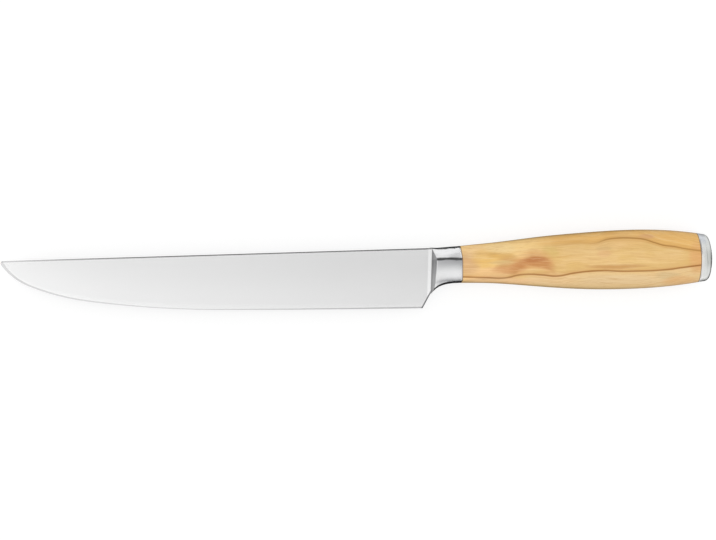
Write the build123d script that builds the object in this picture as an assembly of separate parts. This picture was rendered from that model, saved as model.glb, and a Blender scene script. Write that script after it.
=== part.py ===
from build123d import *
import math
import os

# Carving knife, lying on its side. X runs from the tip to the butt, Y from the cutting
# edge up to the spine, Z up through the thickness. While it is modelled, X is zero at the
# foot of the bolster, Y is zero on the centre line of the knife and Z is zero on the
# plane that halves its thickness. The finished knife is moved so that it lies on the
# XY plane with the centre of its box over the origin. Millimetres and degrees.

# Blade
blade_length = 200.0
blade_depth = 28.8
spine_rise = 10.3
spine_fall = 6.3
spine_thickness = 2.6
edge_thickness = 0.36
taper_to_tip = 0.4
point_thinning = 0.4
tip_radius = 1.1
spine_radius = 0.9
heel_setback = 4.2
heel_rise = 0.6
heel_radius = 0.5
heel_edge_angle = 0.8
choil_angle = 61.7
choil_radius = 1.8
choil_foot_drop = 10.3
choil_run_slope = 0.79
choil_easing = 0.15
choil_easing_height = 0.4
bevel_angle = 17.0
root_in_bolster = 6.0

# Bolster
bolster_length = 13.45
bolster_top = 11.3
bolster_underside = 6.05
bolster_thickness = 15.4
bolster_seam_tilt = 1.0
ramp_height = 7.0
ramp_angle = 72.0
ramp_lean = 1.5
plunge_length = 2.2
plunge_rise = 0.35
plunge_bite = 0.03
underside_reach = 12.4

# Grip and cap
grip_length = 114.4
crown_height = 19.1
belly_depth = 9.1
grip_thickness = 22.2
cap_length = 5.95
cap_dome_radius = 70.0
cap_rim_radius = 2.6
handle_tilt = 2.2

# Tang, the channel bored for it and the socket of the cap
cap_centre_rise = 6.0
tang_root_reach = 4.0
tang_flat_length = 74.0
tang_shoulder_radius = 1.5
tang_root_height = 9.0
tang_end_height = 6.4
tang_thickness = 3.6
tang_rod_diameter = 5.0
tang_rod_chamfer = 0.5
notch_radius = 1.1
notch_count = 3
resin_gap = 0.8
slot_corner_radius = 1.5
boss_diameter = 12.0
boss_length = 5.8
socket_clearance = 0.1
thread_clearance = 0.05
bore_past_seam = 2.6
bore_end_gap = 0.6

overrun = 5.0

# Where the cutting edge passes, from the heel to the tip: share of the blade's length
# from the bolster, and share of its depth above the lowest line of the edge.
belly_shares = ((0.5, 0.0017), (0.8, 0.1354), (0.935, 0.3785))
tip_corner_share = 1.005
point_start_share = 0.775

# Sections of the bolster from its front to the seam: share of its length, of the rise of
# its top, of the reach of its underside towards the heel, and of its growth in thickness.
bolster_shares = (
    (-0.19, -0.30, 1.0, -0.35),
    (0.14, 0.10, 0.435, 0.0),
    (0.34, 0.25, 0.20, 0.30),
    (0.63, 0.62, 0.055, 0.65),
    (1.0, 1.0, 0.0, 1.0),
)

# Sections of the grip behind the seam: share of its length, of the way up from the
# bolster's top to the crown, down to the belly, out to the full thickness, and from the
# creased shape at the bolster to the round shape in the hand.
grip_shares = (
    (0.044, 0.07, 0.0, 0.085, 0.10),
    (0.11, 0.163, 0.02, 0.26, 0.36),
    (0.205, 0.327, 0.20, 0.50, 0.68),
    (0.34, 0.58, 0.59, 0.785, 0.92),
    (0.50, 0.80, 0.94, 0.96, 1.0),
    (0.67, 0.97, 0.985, 1.0, 1.0),
    (0.85, 0.99, 0.64, 0.86, 1.0),
    (1.0, 0.80, -0.06, 0.50, 1.0),
)

# The last section, in the cap: share of the cap's length behind its seam, and then the
# same shares as in the grip.
cap_shares = (1.15, 0.655, -0.45, 0.31, 1.0)

# A section is an eight-sided figure with rounded corners. Each row gives a corner of its
# right half, from the top down: share of the half thickness, share of the height from the
# underside, and how sharp the corner is, from 1 for an even curve upwards.
front_corner_shares = ((0.20, 1.0, 4.2), (1.0, 0.732, 3.3), (0.71, 0.07, 3.0), (0.26, 0.0, 2.0))
seam_corner_shares = ((0.22, 1.0, 2.7), (1.0, 0.641, 3.3), (0.82, 0.07, 4.0), (0.32, 0.0, 2.0))
grip_corner_shares = ((0.48, 1.0, 1.0), (1.0, 0.64, 1.0), (1.0, 0.38, 1.0), (0.44, 0.0, 1.0))


def mix(first, second, share):
    """The value a given share of the way from the first to the second."""
    return first + (second - first) * share


def mix_corners(first, second, share):
    """Corners between two sets, their places mixed evenly and their sharpness in ratio."""
    rows = []
    for (out, up, sharp), (out_2, up_2, sharp_2) in zip(first, second):
        sharpness = sharp * (sharp_2 / sharp) ** share
        rows.append((mix(out, out_2, share), mix(up, up_2, share), sharpness))
    return rows


def section(x, top, bottom, half_thickness, corner_shares):
    """One cross-section of the handle, square to X: a curve round each corner, side to side."""
    height = top - bottom
    right = [
        (Vector(x, bottom + up * height, out * half_thickness), sharpness)
        for out, up, sharpness in corner_shares
    ]
    left = [(Vector(p.X, p.Y, -p.Z), sharpness) for p, sharpness in reversed(right)]
    corners = right + left
    edges = []
    for i, (corner, sharpness) in enumerate(corners):
        before = (corners[i - 1][0] + corner) / 2
        after = (corner + corners[(i + 1) % len(corners)][0]) / 2
        edges.append(Bezier(before, corner, after, weights=[1, sharpness, 1]))
    return Wire(edges)


def handle_form():
    """The outer form that the bolster, grip and cap share, in one smooth sweep."""
    sections = []
    for along, rise, reach, growth in bolster_shares:
        sections.append(
            section(
                along * bolster_length,
                mix(spine_rise, bolster_top, rise),
                -bolster_underside - reach * (underside_reach - bolster_underside),
                mix(ramp_height, bolster_thickness / 2, growth),
                mix_corners(front_corner_shares, seam_corner_shares, max(along, 0)),
            )
        )
    cap_place = (1 + cap_shares[0] * cap_length / grip_length, *cap_shares[1:])
    for along, rise, drop, growth, softness in grip_shares + (cap_place,):
        sections.append(
            section(
                bolster_length + along * grip_length,
                mix(bolster_top, crown_height, rise),
                -mix(bolster_underside, belly_depth, drop),
                mix(bolster_thickness, grip_thickness, growth) / 2,
                mix_corners(seam_corner_shares, grip_corner_shares, softness),
            )
        )
    return Solid.make_loft(sections)


def spine_at(x):
    """Height of the straight spine."""
    return spine_rise + spine_fall * x / blade_length


def heel_point():
    return Vector(-heel_setback, spine_rise - blade_depth + heel_rise)


def choil_foot():
    """The corner where the slanted choil behind the heel meets the run up to the bolster."""
    heel = heel_point()
    slant_run = (-choil_foot_drop - heel.Y) / math.tan(math.radians(choil_angle))
    return Vector(heel.X + slant_run, -choil_foot_drop)


def tip_point():
    """The sharp corner, just past the blade's end, that the tip is rounded from."""
    x = -tip_corner_share * blade_length
    return Vector(x, spine_at(x))


def edge_curve():
    """The cutting edge from the heel to the tip, as arcs that run into each other."""
    level = spine_rise - blade_depth
    stops = [Vector(-along * blade_length, level + up * blade_depth) for along, up in belly_shares]
    start = heel_point()
    heading = Vector(-1, 0).rotate(Axis.Z, heel_edge_angle)
    arcs = []
    for stop in stops + [tip_point()]:
        arcs.append(TangentArc(start, stop, tangent=heading))
        heading = arcs[-1] % 1
        start = stop
    return arcs


def blade_outline(rounded):
    """The blade seen from the side, its root inside the bolster, with or without round corners."""
    heel, tip, foot = heel_point(), tip_point(), choil_foot()
    root = Vector(root_in_bolster, spine_at(root_in_bolster))
    inside = Vector(root.X, foot.Y + (root.X - foot.X) * choil_run_slope)
    face = make_face([Polyline(tip, root, inside, foot, heel)] + edge_curve())
    if rounded:
        for point, radius in ((tip, tip_radius), (heel, heel_radius), (foot, choil_radius)):
            face = fillet(face.vertices().sort_by_distance(point)[0], radius)
    return face


def spine_bar():
    """A long bar with the rounded back of the blade, deeper than the blade."""
    start = root_in_bolster + overrun
    to_tip = Vector(-blade_length, -spine_fall)
    place = Plane((start, spine_at(start), 0), x_dir=(0, 0, 1), z_dir=to_tip)
    outline = Pos(0, -blade_depth) * RectangleRounded(spine_thickness, 2 * blade_depth, spine_radius)
    return extrude(place * outline, amount=start + blade_length + 2 * overrun)


def side_plane(side):
    """One flat ground side, thinner towards the edge and the tip. The side is 1 or -1."""
    along = Vector(blade_length, 0, side * taper_to_tip / 2)
    up = Vector(0, blade_depth, side * (spine_thickness - edge_thickness) / 2)
    start = Vector(0, spine_rise, side * spine_thickness / 2)
    return Plane(start, x_dir=along, z_dir=along.cross(up) * side)


def point_relief(ground):
    """What is ground off one side of the point, in a long shallow curve."""
    start = -point_start_share * blade_length
    thinned_length = blade_length + start
    end = start - thinned_length - overrun
    drop = point_thinning * ((start - end) / thinned_length) ** 2
    curve = TangentArc((start, 0), (end, -drop), tangent=(-1, 0))
    back = Polyline((end, -drop), (end, overrun), (start, overrun), (start, 0))
    across = Plane(ground.origin, x_dir=ground.x_dir, z_dir=ground.x_dir.cross(ground.z_dir))
    return extrude(across * make_face([curve, back]), amount=blade_depth + overrun, both=True)


def bevel_form():
    """The body inside both edge bevels: it narrows away from the line of the cutting edge."""
    arcs = edge_curve()
    heel, tip = heel_point(), tip_point()
    behind_heel = heel - (arcs[0] % 0) * blade_depth
    past_tip = tip + (arcs[-1] % 1) * blade_depth
    above_heel = Vector(behind_heel.X, past_tip.Y)
    back = Polyline(heel, behind_heel, above_heel, past_tip, tip)
    half = extrude(make_face([back] + arcs), amount=spine_thickness, taper=90 - bevel_angle)
    return half + mirror(half, about=Plane.XY)


def blade():
    """The blade, rounded along the spine, ground flat, thinned at the point and sharpened."""
    solid = spine_bar() & extrude(blade_outline(False), amount=spine_thickness, both=True)
    for side in (1, -1):
        ground = side_plane(side)
        solid = split(solid, bisect_by=ground, keep=Keep.BOTTOM) - point_relief(ground)
    choil = solid.faces().sort_by_distance((heel_point() + choil_foot()) / 2)[0]
    slant = choil.edges().sort_by(SortBy.LENGTH)[-2:]
    solid = chamfer(slant, choil_easing, choil_easing_height, reference=choil)
    solid &= extrude(blade_outline(True), amount=spine_thickness, both=True)
    return solid & bevel_form()


def ramp_relief():
    """What is ground off one side of the bolster in front of its ramp."""
    level = spine_thickness / 2 - plunge_bite
    top = level + bolster_thickness
    run = (top - level - plunge_rise) / math.tan(math.radians(ramp_angle))
    front = -plunge_length - root_in_bolster
    plunge = TangentArc((-plunge_length, level), (0, level + plunge_rise), tangent=(1, 0))
    rest = Polyline(
        (0, level + plunge_rise), (run, top), (front, top), (front, level), (-plunge_length, level)
    )
    section_plane = Plane((0, spine_rise, 0), x_dir=(1, 0, 0), z_dir=(0, -1, 0))
    face = section_plane * make_face([plunge, rest])
    lean = math.tan(math.radians(ramp_lean))
    slope = (spine_thickness - edge_thickness) / 2 / blade_depth
    return extrude(face, amount=2 * blade_depth, dir=Vector(lean, 1, slope), both=True)


def bolster_seam():
    """The plane between bolster and grip, facing the butt."""
    facing = Vector(1, 0).rotate(Axis.Z, bolster_seam_tilt)
    return Plane((bolster_length, (bolster_top - bolster_underside) / 2, 0), z_dir=facing)


def handle_axis():
    """A frame at the cap's seam: X along the tang to the butt, Y up, Z through the thickness."""
    seam = (bolster_length + grip_length, cap_centre_rise, 0)
    return Plane(seam, x_dir=Vector(1, 0).rotate(Axis.Z, handle_tilt), z_dir=(0, 0, 1))


def cap_seam():
    """The plane between grip and cap, facing the butt."""
    axis = handle_axis()
    return Plane(axis.origin, z_dir=axis.x_dir)


def rod(diameter, start, end):
    """A round bar along the handle's axis, between two places measured from the cap's seam."""
    base = handle_axis()
    place = Plane(base.origin + base.x_dir * start, z_dir=base.x_dir)
    return extrude(place * Circle(diameter / 2), amount=end - start)


def tang():
    """The tapered flat tang with its notches, and the round end that carries the cap."""
    start = -grip_length - tang_root_reach
    end = -grip_length + tang_flat_length
    outline = make_face(
        Polyline(
            (start, tang_root_height / 2),
            (end, tang_end_height / 2),
            (end, -tang_end_height / 2),
            (start, -tang_root_height / 2),
            close=True,
        )
    )
    outline = fillet(outline.vertices().sort_by(Axis.X)[-2:], tang_shoulder_radius)
    pitch = tang_flat_length / (notch_count + 1)
    for i in range(notch_count):
        x = -grip_length + pitch * (i + 1)
        half = mix(tang_root_height, tang_end_height, (x - start) / (end - start)) / 2
        outline -= Pos(x, half) * Circle(notch_radius)
        outline -= Pos(x, -half) * Circle(notch_radius)
    flat = extrude(handle_axis() * outline, amount=tang_thickness / 2, both=True)
    tip = bore_past_seam - bore_end_gap
    round_end = rod(tang_rod_diameter, end - tang_rod_diameter, tip)
    rim = round_end.edges().filter_by(GeomType.CIRCLE).sort_by(Axis.X)[-1]
    return flat + chamfer(rim, tang_rod_chamfer)


def channel():
    """The slot, bore and counterbore cut through the grip along the tang."""
    slot_end = -grip_length + tang_flat_length + resin_gap
    height = tang_root_height + 2 * resin_gap
    width = tang_thickness + 2 * resin_gap
    base = handle_axis()
    front = -grip_length - overrun
    place = Plane(base.origin + base.x_dir * front, x_dir=base.y_dir, z_dir=base.x_dir)
    slot = extrude(place * RectangleRounded(height, width, slot_corner_radius), slot_end - front)
    bore = rod(tang_rod_diameter + 2 * resin_gap, slot_end - overrun, -boss_length)
    seat = rod(boss_diameter + 2 * socket_clearance, -boss_length, overrun)
    return slot, bore, seat


def forged_blade(form):
    """Blade, bolster and tang, forged as one piece."""
    bolster = split(form, bisect_by=bolster_seam(), keep=Keep.BOTTOM)
    relief = ramp_relief()
    bolster = bolster - relief - mirror(relief, about=Plane.XY)
    return bolster + blade() + tang()


def grip(form):
    """The one-piece wooden grip between bolster and cap."""
    body = split(form, bisect_by=bolster_seam(), keep=Keep.TOP)
    body = split(body, bisect_by=cap_seam(), keep=Keep.BOTTOM)
    for cut in channel():
        body -= cut
    return body


def tang_resin():
    """The cast resin that fills the channel around the tang."""
    slot, bore, _ = channel()
    body = split(slot, bisect_by=bolster_seam(), keep=Keep.TOP) + bore
    return body - tang()


def end_cap(form):
    """The steel cap: domed butt, and a boss with a blind bore for the end of the tang."""
    shell = split(form, bisect_by=cap_seam(), keep=Keep.TOP)
    axis = handle_axis()
    dome_centre = axis.origin + axis.x_dir * (cap_length - cap_dome_radius)
    shell &= Pos(*dome_centre) * Sphere(cap_dome_radius)
    butt = shell.faces().sort_by(Axis.X)[-1]
    shell = fillet(butt.edges(), cap_rim_radius)
    body = shell + rod(boss_diameter, -boss_length, 0)
    return body - rod(tang_rod_diameter + 2 * thread_clearance, -boss_length, bore_past_seam)


def main():
    form = handle_form()
    pieces = {
        "forged_blade": forged_blade(form),
        "grip": grip(form),
        "tang_resin": tang_resin(),
        "end_cap": end_cap(form),
    }
    box = Compound([piece.solid() for piece in pieces.values()]).bounding_box()
    to_floor = Pos(-box.center().X, -box.center().Y, -box.min.Z)
    os.makedirs("parts", exist_ok=True)
    for name, piece in pieces.items():
        solids = piece.solids()
        print(name, len(solids), "solid,", round(piece.volume), "mm3, valid", piece.is_valid)
        export_step(to_floor * solids[0], f"parts/{name}.step")
    print("moved by", to_floor.position, "size", box.size)


if __name__ == "__main__":
    main()
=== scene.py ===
import math

import bpy
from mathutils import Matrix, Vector


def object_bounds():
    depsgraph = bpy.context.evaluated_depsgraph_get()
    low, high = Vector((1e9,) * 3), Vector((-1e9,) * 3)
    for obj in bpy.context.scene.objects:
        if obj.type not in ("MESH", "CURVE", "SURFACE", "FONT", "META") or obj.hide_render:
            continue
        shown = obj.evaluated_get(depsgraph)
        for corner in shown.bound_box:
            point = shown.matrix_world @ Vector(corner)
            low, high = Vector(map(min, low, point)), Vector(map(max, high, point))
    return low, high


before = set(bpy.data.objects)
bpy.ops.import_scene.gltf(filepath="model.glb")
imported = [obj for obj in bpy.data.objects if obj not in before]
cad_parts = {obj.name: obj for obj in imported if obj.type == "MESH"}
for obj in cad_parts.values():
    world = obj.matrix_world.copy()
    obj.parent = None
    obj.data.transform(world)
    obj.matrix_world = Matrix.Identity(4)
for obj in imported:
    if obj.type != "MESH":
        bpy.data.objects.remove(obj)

# A carving knife lying on its side on a white floor, seen from almost straight above.
# X runs from the tip to the butt, Y from the cutting edge to the spine, Z up. The scene is
# in metres. The materials work in millimetres, in the same frame.
mm = 0.001

cad_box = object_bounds()
knife_low, knife_high = cad_box
mid_height = (knife_low.z + knife_high.z) / 2

# Camera, turned a little towards the tip. It sees as far as its reach, in metres.
camera_turn = math.radians(8)
camera_distance = 1.2
camera_reach = 12.0
camera_lens = 129.3
camera_aim = Vector((-1.65 * mm, -0.35 * mm, mid_height))

# Lamps: place and width in metres, power in watts
lamps = {
    "above": ((-0.2, 0, 1.6), 1.0, 5.0),
    "edge_side": ((0, -1.2, 1.0), 0.9, 4.0),
    "spine_side": ((0, 1.2, 1.0), 0.9, 4.0),
}

# Places along the knife, in millimetres
blade_end = 33.1
grip_start = 46.55
grip_length = 114.4
cap_start = grip_start + grip_length

# The planes of the two seams and of the slanted choil behind the heel: place in X and Y,
# in millimetres, and turn about Z
bolster_seam = (grip_start, 2.27, math.radians(1.0))
cap_seam = (cap_start, 5.65, math.radians(2.2))
choil = (28.9, -18.25, math.radians(-28.3))

# A noise's middle value, and two values that most of it lies between
noise_middle = 0.5
noise_spread = (0.3, 0.7)

# A soft oval is full where the square of the share of its reach is this
oval_full = 0.1

# Where the eased rim beside a seam starts and is full, in millimetres from the seam
rim_start = 0.5
rim_full = 0.05

# Bumps in the materials: strength, and depth in millimetres
wood_bump = (0.3, 0.05)
ground_bump = (0.04, 0.02)
brushed_bump = (0.15, 0.03)
rim_bump = (1.0, -0.1)


class Shader:
    """A node material or world, built up one node at a time. Sockets are passed around."""

    def __init__(self, owner):
        owner.use_nodes = True
        self.owner = owner
        self.tree = owner.node_tree
        self.tree.nodes.clear()

    def node(self, kind, settings=None, **inputs):
        made = self.tree.nodes.new("ShaderNode" + kind)
        for name, value in (settings or {}).items():
            setattr(made, name, value)
        for name, value in inputs.items():
            self.fill(made.inputs[name.replace("_", " ")], value)
        return made

    def fill(self, socket, value):
        if isinstance(value, bpy.types.NodeSocket):
            self.tree.links.new(value, socket)
        elif value is not None:
            socket.default_value = value

    def show(self, shader, kind="OutputMaterial"):
        """Makes a shader node the surface of the material, or the light of the world."""
        out = self.node(kind)
        self.tree.links.new(shader.outputs[0], out.inputs["Surface"])

    def math(self, operation, first, second=None, clamp=False):
        made = self.node("Math", {"operation": operation, "use_clamp": clamp})
        for socket, value in zip(made.inputs, (first, second)):
            self.fill(socket, value)
        return made.outputs[0]

    def add(self, first, second):
        return self.math("ADD", first, second)

    def less(self, first, second):
        return self.math("SUBTRACT", first, second)

    def times(self, first, second):
        return self.math("MULTIPLY", first, second)

    def larger(self, first, second):
        return self.math("MAXIMUM", first, second)

    def size(self, value):
        """The value without its sign."""
        return self.math("ABSOLUTE", value)

    def fade(self, value, start, end, low=0.0, high=1.0):
        """Goes smoothly from low, where the value is start, to high, where it is end."""
        made = self.node("MapRange", {"interpolation_type": "SMOOTHSTEP"})
        for socket, number in zip(made.inputs, (value, start, end, low, high)):
            self.fill(socket, number)
        return made.outputs[0]

    def near(self, distance, half_width, edge):
        """One within half a width of a line, fading to nothing over the edge."""
        return self.fade(self.size(distance), half_width + edge, half_width)

    def oval(self, x, y, centre_x, centre_y, half_length, half_height):
        """A soft oval, one in its middle and nothing at its rim."""
        across_x = self.times(self.add(x, -centre_x), 1 / half_length)
        across_y = self.times(self.add(y, -centre_y), 1 / half_height)
        square = self.add(self.times(across_x, across_x), self.times(across_y, across_y))
        return self.fade(square, 1.0, oval_full)

    def curve(self, value, points, handle="AUTO"):
        """A curve through points whose two coordinates run from 0 to 1."""
        made = self.node("FloatCurve", Value=value)
        line = made.mapping.curves[0]
        # A new curve already has two points.
        for point in points[2:]:
            line.points.new(*point)
        for knob, point in zip(line.points, points):
            knob.location = point
            knob.handle_type = handle
        made.mapping.update()
        return made.outputs[0]

    def blend(self, share, first, second):
        """Two numbers mixed: the second one's share goes from 0 to 1."""
        made = self.node("Mix", {"data_type": "FLOAT"})
        sockets = (made.inputs[0], made.inputs[2], made.inputs[3])
        for socket, number in zip(sockets, (share, first, second)):
            self.fill(socket, number)
        return made.outputs[0]

    def mix(self, share, first, second):
        """Two colours mixed: the second one's share goes from 0 to 1."""
        made = self.node("Mix", {"data_type": "RGBA", "blend_type": "MIX"})
        sockets = (made.inputs[0], made.inputs[6], made.inputs[7])
        for socket, value in zip(sockets, (share, first, second)):
            self.fill(socket, value)
        return made.outputs[2]

    def lay(self, base, tone, share, *more_shares):
        """A tone laid over a base colour, as strongly as the product of the shares."""
        for other in more_shares:
            share = self.times(share, other)
        return self.mix(share, base, tone)

    def place(self):
        """The place on the knife, in millimetres, as three sockets."""
        where = self.node("TexCoord").outputs["Object"]
        scaled = self.node("VectorMath", {"operation": "SCALE"}, Scale=1 / mm)
        self.fill(scaled.inputs[0], where)
        return self.node("SeparateXYZ", Vector=scaled.outputs[0]).outputs[:3]

    def facing(self):
        """The direction that the surface faces, as three sockets."""
        return self.node("SeparateXYZ", Vector=self.node("TexCoord").outputs["Normal"]).outputs[:3]

    def past(self, seam, x, y):
        """How far a place is past a seam, towards the butt, in millimetres."""
        seam_x, seam_y, turn = seam
        along = self.times(self.add(x, -seam_x), math.cos(turn))
        return self.add(along, self.times(self.add(y, -seam_y), math.sin(turn)))

    def noise(self, place, waves, detail, roughness):
        """A noise of so many waves in a millimetre along each coordinate of the place."""
        x, y, z = [self.times(part, wave) for part, wave in zip(place, waves)]
        where = self.node("CombineXYZ", X=x, Y=y, Z=z).outputs[0]
        made = self.node("TexNoise", Vector=where, Scale=1.0, Detail=detail, Roughness=roughness)
        return made.outputs["Fac"]

    def bump(self, height, strength, depth, normal=None):
        """The surface's direction after a bump whose depth is in millimetres."""
        made = self.node("Bump", Strength=strength, Distance=depth * mm, Height=height, Normal=normal)
        return made.outputs[0]


def new_shader(name):
    return Shader(bpy.data.materials.new(name))


def colour(red, green, blue):
    """A colour given as it looks on a screen, from 0 to 255, as linear light."""
    def linear(part):
        share = part / 255
        return share / 12.92 if share <= 0.04045 else ((share + 0.055) / 1.055) ** 2.4
    return (linear(red), linear(green), linear(blue), 1.0)


def light(red, green, blue):
    """A colour given as linear light, from 0 to 1."""
    return (red, green, blue, 1.0)


black = light(0.0, 0.0, 0.0)
white = light(1.0, 1.0, 1.0)


def line_height(s, share, line, reach):
    """The height of a line at a share of its length, in millimetres.

    A curve node works from 0 to 1, so heights go in as shares of a reach each side of zero.
    """
    start, end = line[0][0], line[-1][0]
    points = [((place - start) / (end - start), 0.5 + 0.5 * height / reach) for place, height in line]
    return s.times(s.add(s.curve(share, points), -0.5), 2 * reach)


def above(s, x, y, line):
    """How far a place is above a line along the steel, in millimetres."""
    start, end = line[0][0], line[-1][0]
    share = s.math("DIVIDE", s.add(x, -start), end - start, clamp=True)
    return s.less(y, line_height(s, share, line, steel_reach))


# Lines along the steel, as places in X and Y in millimetres: the cutting edge, the border of
# the rounded spine, the bolster's crease and its lower outline. None is further than
# the reach from the knife's axis.
edge_line = (
    (-167.0, 3.7), (-154.0, -8.1), (-139.0, -12.6), (-120.0, -15.8), (-90.0, -18.2), (-60.0, -18.8),
    (29.0, -18.25),
)
spine_line = ((-167.0, 3.64), (29.0, 9.82))
crease_line = ((30.0, 5.0), (34.3, 5.0), (40.0, 4.95), (46.6, 4.9))
bottom_line = ((33.1, -9.3), (34.6, -7.9), (38.0, -6.5), (42.8, -5.9), (46.6, -5.8))
steel_reach = 25.0

# The wood's two grain lines: share of the grip's length, and height in millimetres
lower_line = (
    (0.0, -3.55), (0.105, -3.95), (0.17, -4.15), (0.198, -3.7), (0.23, -2.75), (0.281, -2.35),
    (0.335, -2.7), (0.388, -3.2), (0.462, -1.75), (0.511, -1.05), (0.545, -0.75), (0.587, -0.58),
    (0.658, -0.9), (0.72, -0.85), (0.784, -0.65), (0.867, 0.02), (0.909, 0.67), (0.972, 1.59), (1.0, 2.0),
)
upper_line = (
    (0.0, 10.6), (0.25, 11.0), (0.377, 11.8), (0.49, 12.8), (0.55, 12.4), (0.60, 14.0), (0.637, 14.6),
    (0.708, 14.7), (0.754, 14.2), (0.80, 12.6), (0.84, 11.3), (0.884, 10.7), (0.926, 9.8), (1.0, 8.7),
)
wood_reach = 20.0

# Below this height in millimetres the figure slants round the side of the grip: how far it
# moves along and up for each millimetre down
slant_top = 12.0
slant_along = -2.2
slant_up = 0.35

# Noises in the wood: waves along the grain, across it and through it, detail, roughness.
# They are waves in a millimetre, but across the grain the first three count their waves
# from the lower grain line to the upper one.
wood_noises = {
    "band": ((0.02, 9.0, 0.10), 3.0, 0.55),
    "streak": ((0.045, 28.0, 0.3), 4.0, 0.6),
    "fine": ((0.25, 95.0, 1.5), 3.0, 0.6),
    "cloud": ((0.06, 0.14, 0.12), 3.0, 0.5),
    "hair": ((0.09, 3.4, 1.2), 3.0, 0.65),
}

# The plain wood varies between two colours, and its ovals sway by so many millimetres
plain_spread = (0.35, 0.65)
plain_colours = (228, 188, 118), (234, 196, 134)
figure_sway = 3.0

# Tones over the wood: the value that each follows, where it starts and is full, strength,
# colour. The value ring is 0 on the lower grain line and 1 on the upper one, and along
# runs from 0 to 1 down the grip. The rest are noises.
wood_zones = (
    ("ring", 0.92, 1.08, 0.85, (240, 189, 110)),
    ("ring", 0.02, -0.10, 0.80, (241, 207, 154)),
    ("along", 0.34, 0.20, 0.75, (244, 204, 132)),
)
wood_bands = (
    ("band", 0.54, 0.70, 0.50, (219, 170, 96)),
    ("band", 0.46, 0.34, 0.50, (242, 206, 142)),
)
wood_streaks = (
    ("streak", 0.52, 0.70, 0.35, (208, 158, 94)),
    ("streak", 0.46, 0.32, 0.30, (244, 214, 162)),
    ("fine", 0.55, 0.72, 0.35, (200, 152, 92)),
    ("hair", 0.52, 0.68, 0.40, (206, 156, 96)),
    ("hair", 0.46, 0.32, 0.30, (246, 216, 164)),
)

# The pale top of the grip's front: where it starts and is full along the grip, as shares,
# and up it, in millimetres, then strength and colour
front_top_along = (0.42, 0.25)
front_top_height = (3.0, 8.0)
front_top_strength = 0.8
front_top_colour = (255, 218, 150)

# Soft ovals of colour in the wood: share of the grip's length, height, half length and half
# height in millimetres, colour, strength
wood_tints = (
    (0.02, 2.4, 7.5, 8.0, (212, 166, 124), 0.7),
    (0.07, 8.4, 11.0, 4.0, (255, 216, 160), 0.65),
    (0.19, 2.8, 7.5, 5.5, (196, 140, 76), 0.65),
    (0.10, 5.0, 9.0, 5.5, (232, 186, 98), 0.6),
    (0.16, 6.6, 8.0, 2.0, (218, 168, 84), 0.45),
    (0.155, 9.6, 9.0, 3.0, (250, 219, 158), 0.7),
    (0.165, 3.2, 8.0, 1.6, (226, 198, 140), 0.6),
    (0.13, -1.6, 14.0, 3.2, (244, 197, 144), 0.6),
    (0.15, -5.6, 24.0, 2.8, (252, 206, 154), 0.8),
    (0.20, 0.8, 9.0, 3.2, (212, 158, 101), 0.55),
    (0.17, -0.3, 7.5, 2.0, (214, 152, 98), 0.6),
    (0.23, 1.2, 5.5, 2.2, (204, 138, 88), 0.55),
    (0.36, 7.4, 5.0, 4.0, (216, 184, 104), 0.5),
    (0.585, 9.9, 5.0, 1.5, (198, 158, 104), 0.35),
    (0.585, 7.6, 4.5, 2.2, (228, 176, 128), 0.4),
    (0.64, 1.3, 19.0, 1.4, (202, 150, 88), 0.8),
    (0.77, 15.6, 5.0, 1.7, (218, 164, 124), 0.6),
    (0.37, -5.0, 15.0, 4.0, (250, 213, 162), 0.5),
    (0.66, -4.8, 26.0, 3.0, (236, 206, 160), 0.6),
    (0.69, 13.6, 12.0, 5.0, (242, 198, 134), 0.45),
    (0.86, -2.9, 8.0, 2.2, (214, 190, 144), 0.5),
    (0.92, -5.4, 11.0, 3.2, (234, 178, 116), 0.5),
    (0.985, 5.5, 6.0, 9.0, (228, 168, 108), 0.7),
)

# The knot: middle and radius of its crescent in millimetres, and where its front, back and
# top start and are full, in millimetres from the middle
knot_x = 79.5
knot_y = -9.6
knot_radius = 13.6
knot_front = (-12.5, -5.0)
knot_back = (15.0, 8.5)
knot_top = (4.0, 8.0)

# How far the knot's outline wanders and its back is frayed, in millimetres, and how much of
# the wandering follows the streaks
knot_wander = 4.0
knot_fray = 5.0
wander_streaks = 0.5

# Round the crescent lies a halo, and in it a heart that the streaks break up: half width and
# soft edge in millimetres
halo_width = (1.6, 4.0)
halo_strength = 0.7
halo_colour = (222, 164, 106)
heart_width = (1.0, 1.9)
heart_streaks = (0.35, 0.6, 0.65, 0.95)
heart_colour = (198, 134, 78)

# The core at the crescent's top: shift from there, half length and half height
core_shift = (1.0, 0.6)
core_size = (7.0, 1.6)
core_strength = 0.7
core_colour = (184, 114, 62)

# The dark grain lines are stronger in some bands, and a shade lies over the lower one
line_weight = (0.35, 0.6, 0.75, 1.0)
shade_height = (2.2, 0.0)
shade_border = (-0.2, 0.2)
shade_strength = 0.45
shade_colour = (214, 160, 96)

# The strokes that draw the two lines: half width and soft edge in millimetres, shares of the
# grip's length where it starts and is full, strength, colour. The lower line is full all
# along.
lower_strokes = (
    (0.1, 0.55, -1.0, 0.0, 1.0, (166, 110, 54)),
)
upper_strokes = (
    (0.3, 1.5, 0.25, 0.5, 0.5, (208, 156, 80)),
    (0.05, 0.55, 0.52, 0.62, 0.85, (172, 122, 60)),
)

# The grip's turned-away sides get a little painted shade, and a thin line at each seam is darker
side_slope = (0.88, 0.97)
side_strength = 0.45
side_shade_colour = (150, 118, 70)
seam_width = (0.15, 0.35)
seam_strength = 0.9
seam_colour = (112, 82, 56)

wood_roughness = (0.42, 0.52)
wood_gloss = 0.3
fine_bump_share = 0.5


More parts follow.
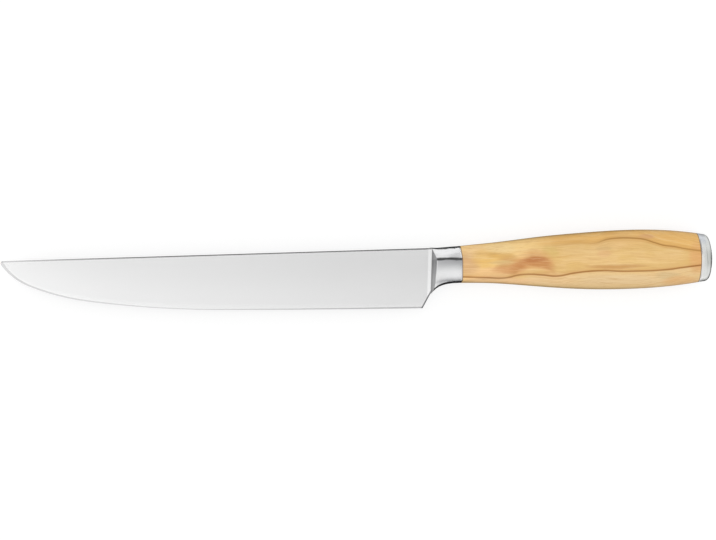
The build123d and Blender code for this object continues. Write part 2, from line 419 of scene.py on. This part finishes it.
def olive_wood():
    s = new_shader("olive_wood")
    x, y, z = s.place()
    under = s.larger(s.add(s.times(z, -1.0), slant_top), 0.0)
    grain_x = s.add(x, s.times(under, slant_along))
    height = s.add(y, s.times(under, slant_up))
    along = s.times(s.add(x, -grip_start), 1 / grip_length)
    lower = line_height(s, along, lower_line, wood_reach)
    upper = line_height(s, along, upper_line, wood_reach)
    above_lower = s.less(height, lower)
    above_upper = s.less(height, upper)
    ring = s.math("DIVIDE", above_lower, s.less(upper, lower))

    values = {"ring": ring, "along": along}
    for name in ("band", "streak", "fine"):
        values[name] = s.noise((grain_x, ring, z), *wood_noises[name])
    cloud = s.noise((grain_x, y, z), *wood_noises["cloud"])
    grain_y = s.add(y, s.times(s.add(cloud, -noise_middle), figure_sway))
    values["hair"] = s.noise((grain_x, grain_y, z), *wood_noises["hair"])

    base = s.mix(s.fade(cloud, *plain_spread), *[colour(*plain) for plain in plain_colours])
    base = toned(s, base, values, wood_zones)
    front_top = s.times(s.fade(along, *front_top_along), s.fade(height, *front_top_height))
    base = s.lay(base, colour(*front_top_colour), front_top, front_top_strength)
    base = toned(s, base, values, wood_bands)
    for share, centre_y, half_length, half_height, tint, strength in wood_tints:
        centre_x = grip_start + share * grip_length
        oval = s.oval(grain_x, grain_y, centre_x, centre_y, half_length, half_height)
        base = s.lay(base, colour(*tint), oval, strength)
    base = knot(s, base, grain_x, grain_y, cloud, values["streak"])
    base = toned(s, base, values, wood_streaks)

    weight = s.fade(values["band"], *line_weight)
    shade = s.times(s.fade(above_lower, *shade_height), s.fade(above_lower, *shade_border))
    base = s.lay(base, colour(*shade_colour), shade, weight, shade_strength)
    base = stroked(s, base, above_lower, along, weight, lower_strokes)
    base = stroked(s, base, above_upper, along, weight, upper_strokes)
    # Painted shade where the grip turns away from above, at its back and belly
    base = s.lay(base, colour(*side_shade_colour), s.fade(s.size(s.facing()[1]), *side_slope), side_strength)
    for seam in (bolster_seam, cap_seam):
        beside = s.near(s.past(seam, x, y), *seam_width)
        base = s.lay(base, colour(*seam_colour), beside, seam_strength)

    rough = s.fade(values["streak"], *noise_spread, *wood_roughness)
    relief = s.add(values["streak"], s.times(values["fine"], fine_bump_share))
    normal = s.bump(relief, *wood_bump)
    made = s.node(
        "BsdfPrincipled", Base_Color=base, Roughness=rough, Normal=normal, Specular_IOR_Level=wood_gloss
    )
    s.show(made)
    return s.owner


def toned(s, base, values, tones):
    """The wood with the tones of a table laid over it."""
    for name, start, full, strength, tint in tones:
        base = s.lay(base, colour(*tint), s.fade(values[name], start, full), strength)
    return base


def stroked(s, base, distance, along, weight, strokes):
    """The wood with the strokes of a table drawn along a grain line."""
    for half_width, edge, start, full, strength, tint in strokes:
        stroke = s.near(distance, half_width, edge)
        base = s.lay(base, colour(*tint), stroke, s.fade(along, start, full), strength, weight)
    return base


def knot(s, base, x, y, cloud, streak):
    """The brown crescent of a knot that lies under the surface."""
    away_x = s.add(x, -knot_x)
    away_y = s.add(y, -knot_y)
    from_middle = s.math("SQRT", s.add(s.times(away_x, away_x), s.times(away_y, away_y)))
    wander = s.add(s.add(cloud, s.times(streak, wander_streaks)), -noise_middle * (1 + wander_streaks))
    from_arc = s.add(s.add(from_middle, s.times(wander, knot_wander)), -knot_radius)
    frayed_x = s.add(away_x, s.times(streak, knot_fray))
    ends = s.times(s.fade(away_x, *knot_front), s.fade(frayed_x, *knot_back))
    top = s.fade(away_y, *knot_top)
    base = s.lay(base, colour(*halo_colour), s.near(from_arc, *halo_width), ends, top, halo_strength)
    heart = s.times(s.near(from_arc, *heart_width), s.fade(streak, *heart_streaks))
    base = s.lay(base, colour(*heart_colour), heart, ends, top)
    core_x = knot_x + core_shift[0]
    core_y = knot_y + knot_radius + core_shift[1]
    return s.lay(base, colour(*core_colour), s.oval(x, y, core_x, core_y, *core_size), core_strength)


# Noises in the blade and bolster: waves in a millimetre, detail, roughness
grind_lines = ((6.0, 0.08, 0.1), 3.0, 0.6)
grind_patches = ((0.03, 0.05, 1.0), 2.0, 0.5)

# The blade's tones. A fade is given by where it starts and is full, in millimetres from the
# line that it is named for, or along X, and by the strengths there if they aren't 0 and 1. A
# slope is the Y part of the direction that the surface faces.
ground_tones = light(0.838, 0.838, 0.839), light(0.858, 0.858, 0.859)
# Painted highlight: the blade is lighter towards its cutting edge, in a narrow and a wide band
edge_highlight_tone = light(0.963, 0.963, 0.963)
edge_highlight = (6.0, 0.5)
wide_highlight = (22.0, 2.0, 0.0, 0.6)
# Painted shade on the edge bevel, a darker grey line
bevel_shade_tone = light(0.50, 0.50, 0.505)
bevel_slope = (-0.18, -0.26)
bevel_shade_along = (-130.0, -60.0, 0.35, 0.6)
# Painted shade along the rounded spine, a dark line
spine_shade_tone = light(0.34, 0.34, 0.34)
spine_slope = (0.25, 0.55)
spine_border = (-0.7, -0.4)
spine_along = (-165.0, -100.0, 0.5, 0.9)
# Painted shade: a dark line along the slanted choil
choil_shade_tone = light(0.12, 0.12, 0.125)
choil_border = (-0.85, -0.45)
choil_height = (-4.0, -8.0)
choil_end = (33.5, 32.0)
choil_strength = 0.85

# The bolster's tones, in the same way. The ramp's edge crosses the axis at a place along X
# and leans by a share of the height.
bolster_border = 0.3
bolster_tone = light(0.840, 0.842, 0.848)
# Painted highlight low on the bolster, towards the ramp
bolster_highlight_tone = light(0.97, 0.971, 0.973)
highlight_height = (8.0, 4.0)
highlight_along = (42.0, 35.5)
# Painted shade under the crease, lighter again by the ramp's edge
crease_shade_tone = light(0.42, 0.423, 0.432)
crease_shade = (6.8, 0.8)
crease_border = (0.2, 0.7)
ramp_edge_x = 33.79
ramp_edge_lean = 0.10
ramp_border = (0.3, 1.3, 0.45, 1.0)
# Painted shade along the bolster's bottom
bottom_shade_tone = light(0.55, 0.555, 0.57)
bottom_height = (3.0, 0.7)
bottom_along = (0.8, 3.5)
bottom_strength = 0.75

# The ground blade scatters a little light, which polished steel doesn't
ground_metallic = 0.88
ground_roughness = (0.20, 0.24)
patch_roughness = (0.0, 0.03)
bolster_roughness = (0.12, 0.16)

# The rim at the seam starts and is full so far from the crease
rim_from_crease = (0.4, 1.3)


def blade_steel():
    s = new_shader("blade_steel")
    x, y, z = s.place()
    lines = s.noise((x, y, z), *grind_lines)
    patches = s.noise((x, y, z), *grind_patches)
    on_bolster = s.fade(x, blade_end - bolster_border, blade_end + bolster_border)
    below_crease = s.times(above(s, x, y, crease_line), -1.0)
    tone = ground_tone(s, x, y, lines, s.less(1.0, on_bolster))
    tone = s.mix(on_bolster, tone, polished_bolster(s, x, y, below_crease))
    rough_blade = s.add(
        s.fade(lines, *noise_spread, *ground_roughness), s.fade(patches, *noise_spread, *patch_roughness)
    )
    rough = s.blend(on_bolster, rough_blade, s.fade(patches, *noise_spread, *bolster_roughness))
    rim = s.fade(s.past(bolster_seam, x, y), -rim_start, -rim_full)
    rim = s.times(rim, s.fade(s.size(below_crease), *rim_from_crease))
    normal = s.bump(rim, *rim_bump, s.bump(lines, *ground_bump))
    metallic = s.blend(on_bolster, ground_metallic, 1.0)
    s.show(s.node("BsdfPrincipled", Base_Color=tone, Metallic=metallic, Roughness=rough, Normal=normal))
    return s.owner


def ground_tone(s, x, y, lines, on_blade):
    """The satin ground blade, with painted highlight towards its edge and painted shade on its bevel,
    spine and choil.
    """
    slope = s.facing()[1]
    tone = s.mix(s.fade(lines, *noise_spread), *ground_tones)
    from_edge = above(s, x, y, edge_line)
    # Painted highlight towards the cutting edge
    polished = s.larger(s.fade(from_edge, *edge_highlight), s.fade(from_edge, *wide_highlight))
    tone = s.lay(tone, edge_highlight_tone, polished)
    # Painted shade on the edge bevel
    tone = s.lay(tone, bevel_shade_tone, s.fade(slope, *bevel_slope), on_blade, s.fade(x, *bevel_shade_along))
    # Painted shade along the rounded spine
    past_border = s.fade(above(s, x, y, spine_line), *spine_border)
    rounded = s.larger(s.fade(slope, *spine_slope), past_border)
    tone = s.lay(tone, spine_shade_tone, rounded, on_blade, s.fade(x, *spine_along))
    # Painted shade along the choil
    at_choil = s.fade(s.past(choil, x, y), *choil_border)
    low = s.fade(y, *choil_height)
    return s.lay(tone, choil_shade_tone, at_choil, low, s.fade(x, *choil_end), choil_strength)


def polished_bolster(s, x, y, below_crease):
    """The polished bolster, with painted shade under its crease and at its bottom, and painted highlight
    by the ramp.
    """
    from_bottom = above(s, x, y, bottom_line)
    past_ramp = s.less(x, s.add(s.times(y, ramp_edge_lean), ramp_edge_x))
    # Painted highlight low on the bolster
    tone = s.lay(bolster_tone, bolster_highlight_tone, s.fade(from_bottom, *highlight_height), s.fade(x, *highlight_along))
    # Painted shade under the crease
    shade = s.times(s.fade(below_crease, *crease_shade), s.fade(below_crease, *crease_border))
    tone = s.lay(tone, crease_shade_tone, shade, s.fade(past_ramp, *ramp_border))
    # Painted shade along the bolster's bottom
    low = s.times(s.fade(from_bottom, *bottom_height), s.fade(past_ramp, *bottom_along))
    return s.lay(tone, bottom_shade_tone, low, bottom_strength)


# Noises in the cap: waves in a millimetre away from the seam, up and through, detail,
# roughness
brush_lines = ((5.0, 0.12, 0.12), 3.0, 0.65)
brush_bands = ((1.5, 0.02, 0.02), 2.0, 0.5)

# The cap's brushed tones, and light and dark bands over them: tone, where it starts and is
# full in its noise, strength
brushed_tones = light(0.62, 0.63, 0.60), light(0.80, 0.81, 0.77)
brushed_spread = (0.35, 0.65)
band_tones = (
    (light(0.94, 0.94, 0.92), (0.50, 0.60), 0.65),
    (light(0.42, 0.43, 0.41), (0.47, 0.37), 0.65),
)

# Tones of the cap's places. Where each starts and is full is in millimetres from its middle,
# up it or past the seam.
cap_middle = 5.0
# Painted highlight on the cap's flanks, above and below its middle
flank_highlight_tone = light(0.97, 0.98, 0.96)
flank_reach = (1.5, 6.0)
flank_strength = 0.65
# A blue-grey tint at the cap's top, by the seam
blue_grey_tone = light(0.62, 0.66, 0.74)
blue_grey_height = (10.5, 14.5)
blue_grey_past = (4.5, 2.0)
blue_grey_strength = 0.6
# Painted highlight on the cap's lip by the seam
lip_highlight_tone = light(0.99, 0.98, 0.96)
lip_past = (1.0, 0.5)
lip_height = (14.0, 11.0, 0.2, 0.9)

# Where the cap turns away it gets painted dark reflection: in a ring round the dome's bright
# middle, at the top and at the corners. The ring and the middle go by the X part of the
# direction that the surface faces, the top by its Y part and the corners by the product of both.
dark_reflection_tone = light(0.10, 0.105, 0.10)
dark_reflection_strength = 0.9
dome_ring = (0.72, 0.84)
dome_middle = (0.985, 0.965)
cap_top = (0.80, 0.95, 0.0, 0.5)
cap_corner = (0.28, 0.42, 0.0, 0.75)
cap_roughness = (0.26, 0.36)


def cap_steel():
    s = new_shader("cap_steel")
    x, y, z = s.place()
    past = s.past(cap_seam, x, y)
    lines = s.noise((past, y, z), *brush_lines)
    bands = s.noise((past, y, z), *brush_bands)
    tone = s.mix(s.fade(lines, *brushed_spread), *brushed_tones)
    for band_tone, spread, strength in band_tones:
        tone = s.lay(tone, band_tone, s.fade(bands, *spread), strength)
    from_middle = s.size(s.add(y, -cap_middle))
    # Painted highlight on the cap's flanks
    tone = s.lay(tone, flank_highlight_tone, s.fade(from_middle, *flank_reach), flank_strength)
    tone = s.lay(tone, blue_grey_tone, s.fade(y, *blue_grey_height), s.fade(past, *blue_grey_past), blue_grey_strength)
    # Painted highlight on the lip by the seam
    tone = s.lay(tone, lip_highlight_tone, s.fade(past, *lip_past), s.fade(y, *lip_height))
    # Painted dark reflection where the cap turns away
    tone = s.lay(tone, dark_reflection_tone, dark_reflection_share(s), dark_reflection_strength)
    rim = s.fade(past, rim_start, rim_full)
    normal = s.bump(rim, *rim_bump, s.bump(lines, *brushed_bump))
    rough = s.fade(lines, *noise_spread, *cap_roughness)
    s.show(s.node("BsdfPrincipled", Base_Color=tone, Metallic=1.0, Roughness=rough, Normal=normal))
    return s.owner


def dark_reflection_share(s):
    """How strongly the painted dark reflection lies where the cap turns away."""
    butt_part, spine_part, _ = s.facing()
    ring = s.times(s.fade(butt_part, *dome_ring), s.fade(butt_part, *dome_middle))
    top = s.fade(s.size(spine_part), *cap_top)
    corner = s.fade(s.size(s.times(butt_part, spine_part)), *cap_corner)
    return s.larger(s.larger(ring, top), corner)


# The resin inside the grip: noise, two colours, and how its roughness varies
resin_cloud = ((0.3, 0.5, 1.0), 3.0, 0.5)
resin_colours = (150, 128, 88), (172, 150, 108)
resin_roughness = (0.3, 0.45)


def cured_resin():
    s = new_shader("cured_resin")
    cloud = s.noise(s.place(), *resin_cloud)
    tone = s.mix(s.fade(cloud, *noise_spread), *[colour(*resin) for resin in resin_colours])
    rough = s.fade(cloud, *noise_spread, *resin_roughness)
    s.show(s.node("BsdfPrincipled", Base_Color=tone, Roughness=rough))
    return s.owner


# The studio as polished steel shows it: how bright it is in the direction of a reflected
# ray. Across the knife goes by the angle from straight up, in degrees, with the spine's
# side positive. Along it goes by the angle towards the butt.
glow_across = (
    (-110, 0.03), (-90, 0.04), (-78, 0.45), (-60, 0.72), (-34, 0.86), (-15, 0.97), (8, 1.0),
    (15, 0.85), (22, 0.35), (30, 0.08), (58, 0.08), (66, 0.5), (74, 0.95), (110, 1.0),
)
glow_along = (
    (-90, 0.20), (-60, 0.25), (-42, 0.34), (-24, 0.88), (-10, 1.00), (0, 1.08), (6, 0.81), (12, 0.57),
    (20, 0.52), (90, 0.52),
)

# A bright panel past the butt: the X parts of a direction where it starts and is full, and
# its brightness. Matt surfaces see even daylight.
butt_panel = (0.18, 0.25, 0.0, 0.82)
daylight = 0.65


def profile(s, angle, points):
    """The brightness that a profile gives for an angle in radians."""
    low, high = points[0][0], points[-1][0]
    share = s.math("DIVIDE", s.add(angle, -math.radians(low)), math.radians(high - low), clamp=True)
    return s.curve(share, [((degrees - low) / (high - low), value) for degrees, value in points], "VECTOR")


def studio_glow(s, direction):
    """How bright the studio is in a direction, for reflections."""
    aside, across, up = s.node("SeparateXYZ", Vector=direction).outputs
    over = profile(s, s.math("ARCTAN2", across, up), glow_across)
    along = profile(s, s.math("ARCSINE", aside), glow_along)
    return s.larger(s.times(over, along), s.fade(aside, *butt_panel))


def studio():
    """Even white light, shown white to the camera and with the studio's glow to reflections."""
    made = bpy.data.worlds.new("studio")
    bpy.context.scene.world = made
    s = Shader(made)
    direction = s.node("TexCoord").outputs["Generated"]
    path = s.node("LightPath")
    strength = s.blend(path.outputs["Is Glossy Ray"], daylight, studio_glow(s, direction))
    strength = s.blend(path.outputs["Is Camera Ray"], strength, 1.0)
    s.show(s.node("Background", Color=white, Strength=strength), "OutputWorld")


# The floor: its reach in metres, its own grey and its glow
floor_reach = 3.0
floor_grey = light(0.35, 0.35, 0.35)
floor_glow = 0.72

# Reflections see the floor dark round the knife, as if black flags lay there: where the dark
# starts and is full, in millimetres, towards the spine's side, the edge's side and both
# ends.
flag_spine_side = (110.0, 70.0)
flag_edge_side = (-105.0, -55.0)
flag_ends = (300.0, 260.0)

# How bright the flagged floor stays: by the place along the knife, and close behind the butt
flag_along = (120.0, 152.0, 0.04, 0.65)
behind_butt = (167.5, 168.5)
behind_butt_width = (26.0, 18.0)
behind_butt_light = 0.05


def floor():
    """A white floor that glows for the camera and in reflections, and keeps the shadow."""
    bpy.ops.mesh.primitive_plane_add(size=2 * floor_reach, location=(0, 0, knife_low.z))
    plane = bpy.context.object
    plane.name = "floor"
    s = new_shader("floor_white")
    x, y, _ = s.place()
    path = s.node("LightPath")
    mirrored = s.larger(path.outputs["Is Glossy Ray"], path.outputs["Is Transmission Ray"])
    seen = s.larger(path.outputs["Is Camera Ray"], mirrored)
    flagged = s.times(s.fade(y, *flag_spine_side), s.fade(s.size(x), *flag_ends))
    flagged = s.times(flagged, s.fade(y, *flag_edge_side))
    behind = s.times(s.fade(x, *behind_butt), s.fade(s.size(y), *behind_butt_width))
    dim = s.blend(behind, s.fade(x, *flag_along), behind_butt_light)
    lit = s.blend(s.times(flagged, mirrored), 1.0, dim)
    diffuse = s.node("BsdfDiffuse", Color=s.mix(lit, black, floor_grey))
    glow = s.node("Emission", Color=white, Strength=s.times(s.times(seen, lit), floor_glow))
    both = s.node("AddShader")
    s.tree.links.new(diffuse.outputs[0], both.inputs[0])
    s.tree.links.new(glow.outputs[0], both.inputs[1])
    s.show(both)
    plane.data.materials.append(s.owner)


def soft_light(name, place, width, power):
    """A round lamp that points at the knife. Reflections show the studio's glow instead."""
    data = bpy.data.lights.new(name, "AREA")
    data.shape = "DISK"
    data.size = width
    data.energy = power
    lamp = bpy.data.objects.new(name, data)
    lamp.location = place
    lamp.rotation_euler = (-Vector(place)).to_track_quat("-Z", "Y").to_euler()
    lamp.visible_glossy = False
    bpy.context.scene.collection.objects.link(lamp)


def camera():
    data = bpy.data.cameras.new("camera")
    data.lens = camera_lens
    data.clip_end = camera_reach
    made = bpy.data.objects.new("camera", data)
    back = Vector((-math.sin(camera_turn), 0, math.cos(camera_turn)))
    made.location = camera_aim + back * camera_distance
    made.rotation_euler = (0, -camera_turn, 0)
    bpy.context.scene.collection.objects.link(made)
    bpy.context.scene.camera = made


finishes = {
    "forged_blade": blade_steel(),
    "grip": olive_wood(),
    "tang_resin": cured_resin(),
    "end_cap": cap_steel(),
}
for name, finish in finishes.items():
    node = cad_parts[name]
    node.data.materials.clear()
    node.data.materials.append(finish)

camera()
studio()
floor()
for name, (place, width, power) in lamps.items():
    soft_light(name, place, width, power)
bpy.context.scene.view_settings.view_transform = "Standard"
